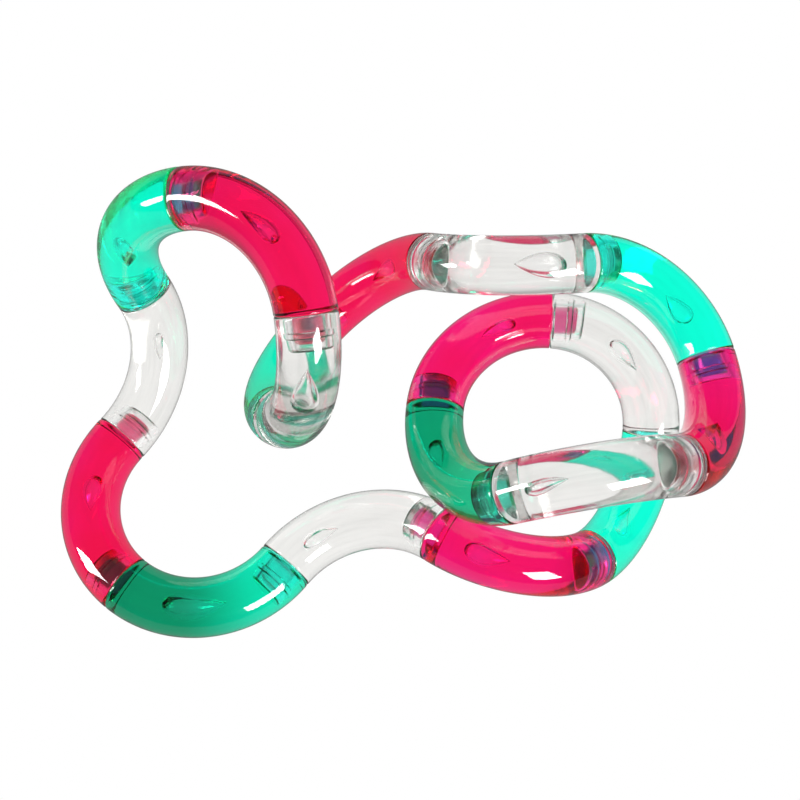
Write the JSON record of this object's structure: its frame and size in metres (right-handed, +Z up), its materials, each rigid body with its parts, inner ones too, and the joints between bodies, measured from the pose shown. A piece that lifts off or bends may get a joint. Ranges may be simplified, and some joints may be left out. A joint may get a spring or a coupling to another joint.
{
  "type": "twisty snake puzzle",
  "caption": "Closed loop of translucent green, red and clear quarter-bend plastic links that twist on snap-in studs.",
  "frame": {"origin": "on the floor below the middle of the bounding box, the puzzle standing on three links", "axes": "+Z up, +X along the longest extent, +Y to the side with the open bends of clear_link_2"},
  "size_m": [0.139, 0.085, 0.064],
  "materials": {
    "green_plastic": "clear tinted gloss, sea green",
    "red_plastic": "clear tinted gloss, crimson",
    "clear_plastic": "clear untinted gloss"
  },
  "bodies": {
    "green_link_1": {"green_link_1": "green_plastic", "clear_stud_6": "clear_plastic"},
    "red_link_1": {"red_link_1": "red_plastic"},
    "clear_link_1": {"clear_link_1": "clear_plastic"},
    "green_link_2": {"green_link_2": "green_plastic"},
    "red_link_2": {"red_link_2": "red_plastic"},
    "clear_link_2": {"clear_link_2": "clear_plastic"},
    "green_link_3": {"green_link_3": "green_plastic"},
    "red_link_3": {"red_link_3": "red_plastic"},
    "clear_link_3": {"clear_link_3": "clear_plastic"},
    "green_link_4": {"green_link_4": "green_plastic"},
    "red_link_4": {"red_link_4": "red_plastic"},
    "clear_link_4": {"clear_link_4": "clear_plastic"},
    "green_link_5": {"green_link_5": "green_plastic"},
    "red_link_5": {"red_link_5": "red_plastic"},
    "clear_link_5": {"clear_link_5": "clear_plastic"},
    "green_link_6": {"green_link_6": "green_plastic"},
    "red_link_6": {"red_link_6": "red_plastic"},
    "clear_link_6": {"clear_link_6": "clear_plastic"}
  },
  "joints": [
    {"name": "green_link_1_to_red_link_1", "type": "hinge", "parent": "red_link_1", "child": "green_link_1", "pos_m": [-0.04236, 0.03206, 0.05383], "axis": [-0.8788, 0.1188, -0.4622], "continuous": true},
    {"name": "red_link_1_to_clear_link_1", "type": "hinge", "parent": "clear_link_1", "child": "red_link_1", "pos_m": [-0.01902, 0.00982, 0.05308], "axis": [-0.1445, 0.8568, 0.495], "range_deg": [0, 180]},
    {"name": "clear_link_1_to_green_link_2", "type": "hinge", "parent": "green_link_2", "child": "clear_link_1", "pos_m": [-0.02418, -0.00021, 0.02287], "axis": [-0.3705, 0.417, -0.83], "range_deg": [0, 50]},
    {"name": "green_link_2_to_red_link_2", "type": "hinge", "parent": "green_link_2", "child": "red_link_2", "pos_m": [-0.01798, 0.02664, 0.00612], "axis": [0.6422, 0.7606, 0.0955], "range_deg": [-30, 0]},
    {"name": "red_link_2_to_clear_link_2", "type": "hinge", "parent": "red_link_2", "child": "clear_link_2", "pos_m": [0.00615, 0.03371, 0.02631], "axis": [-0.4161, 0.4505, -0.7899], "range_deg": [-155, 0]},
    {"name": "clear_link_2_to_green_link_3", "type": "hinge", "parent": "clear_link_2", "child": "green_link_3", "pos_m": [0.03634, 0.02922, 0.03671], "axis": [-0.908, -0.2534, 0.3337], "range_deg": [0, 180]},
    {"name": "green_link_3_to_red_link_3", "type": "hinge", "parent": "green_link_3", "child": "red_link_3", "pos_m": [0.06261, 0.01294, 0.02753], "axis": [-0.2445, 0.9672, 0.069], "range_deg": [-180, 0]},
    {"name": "red_link_3_to_clear_link_3", "type": "hinge", "parent": "red_link_3", "child": "clear_link_3", "pos_m": [0.05162, -0.01435, 0.04072], "axis": [-0.7267, -0.2299, 0.6473], "range_deg": [0, 180]},
    {"name": "clear_link_3_to_green_link_4", "type": "hinge", "parent": "clear_link_3", "child": "green_link_4", "pos_m": [0.01986, -0.01945, 0.03847], "axis": [0.6662, -0.0062, 0.7457], "range_deg": [-60, 0]},
    {"name": "green_link_4_to_red_link_4", "type": "hinge", "parent": "green_link_4", "child": "red_link_4", "pos_m": [0.00721, 0.00325, 0.01939], "axis": [-0.1113, -0.9896, 0.0912], "range_deg": [0, 5]},
    {"name": "red_link_4_to_clear_link_4", "type": "hinge", "parent": "red_link_4", "child": "clear_link_4", "pos_m": [0.03223, 0.02356, 0.02031], "axis": [-0.9864, 0.0988, -0.1314], "range_deg": [-105, 0]},
    {"name": "clear_link_4_to_green_link_5", "type": "hinge", "parent": "clear_link_4", "child": "green_link_5", "pos_m": [0.0545, 0.00231, 0.0107], "axis": [-0.0099, -0.8333, -0.5528], "range_deg": [0, 165]},
    {"name": "green_link_5_to_red_link_5", "type": "hinge", "parent": "green_link_5", "child": "red_link_5", "pos_m": [0.03948, -0.02616, 0.01264], "axis": [-0.6487, -0.4153, 0.6377], "range_deg": [0, 180]},
    {"name": "red_link_5_to_clear_link_5", "type": "hinge", "parent": "red_link_5", "child": "clear_link_5", "pos_m": [0.00796, -0.02279, 0.01851], "axis": [0.734, -0.5628, 0.3801], "range_deg": [-45, 150]},
    {"name": "clear_link_5_to_green_link_6", "type": "hinge", "parent": "clear_link_5", "child": "green_link_6", "pos_m": [-0.02291, -0.02783, 0.01068], "axis": [-0.62, -0.7838, 0.0367], "range_deg": [0, 180]},
    {"name": "green_link_6_to_red_link_6", "type": "hinge", "parent": "green_link_6", "child": "red_link_6", "pos_m": [-0.0549, -0.03168, 0.00936], "axis": [0.7829, -0.6149, 0.0945], "range_deg": [-180, 0]},
    {"name": "red_link_6_to_clear_link_6", "type": "hinge", "parent": "red_link_6", "child": "clear_link_6", "pos_m": [-0.0586, 0.00018, 0.00604], "axis": [0.6207, 0.7824, -0.0514], "range_deg": [-180, 60]}
  ]
}
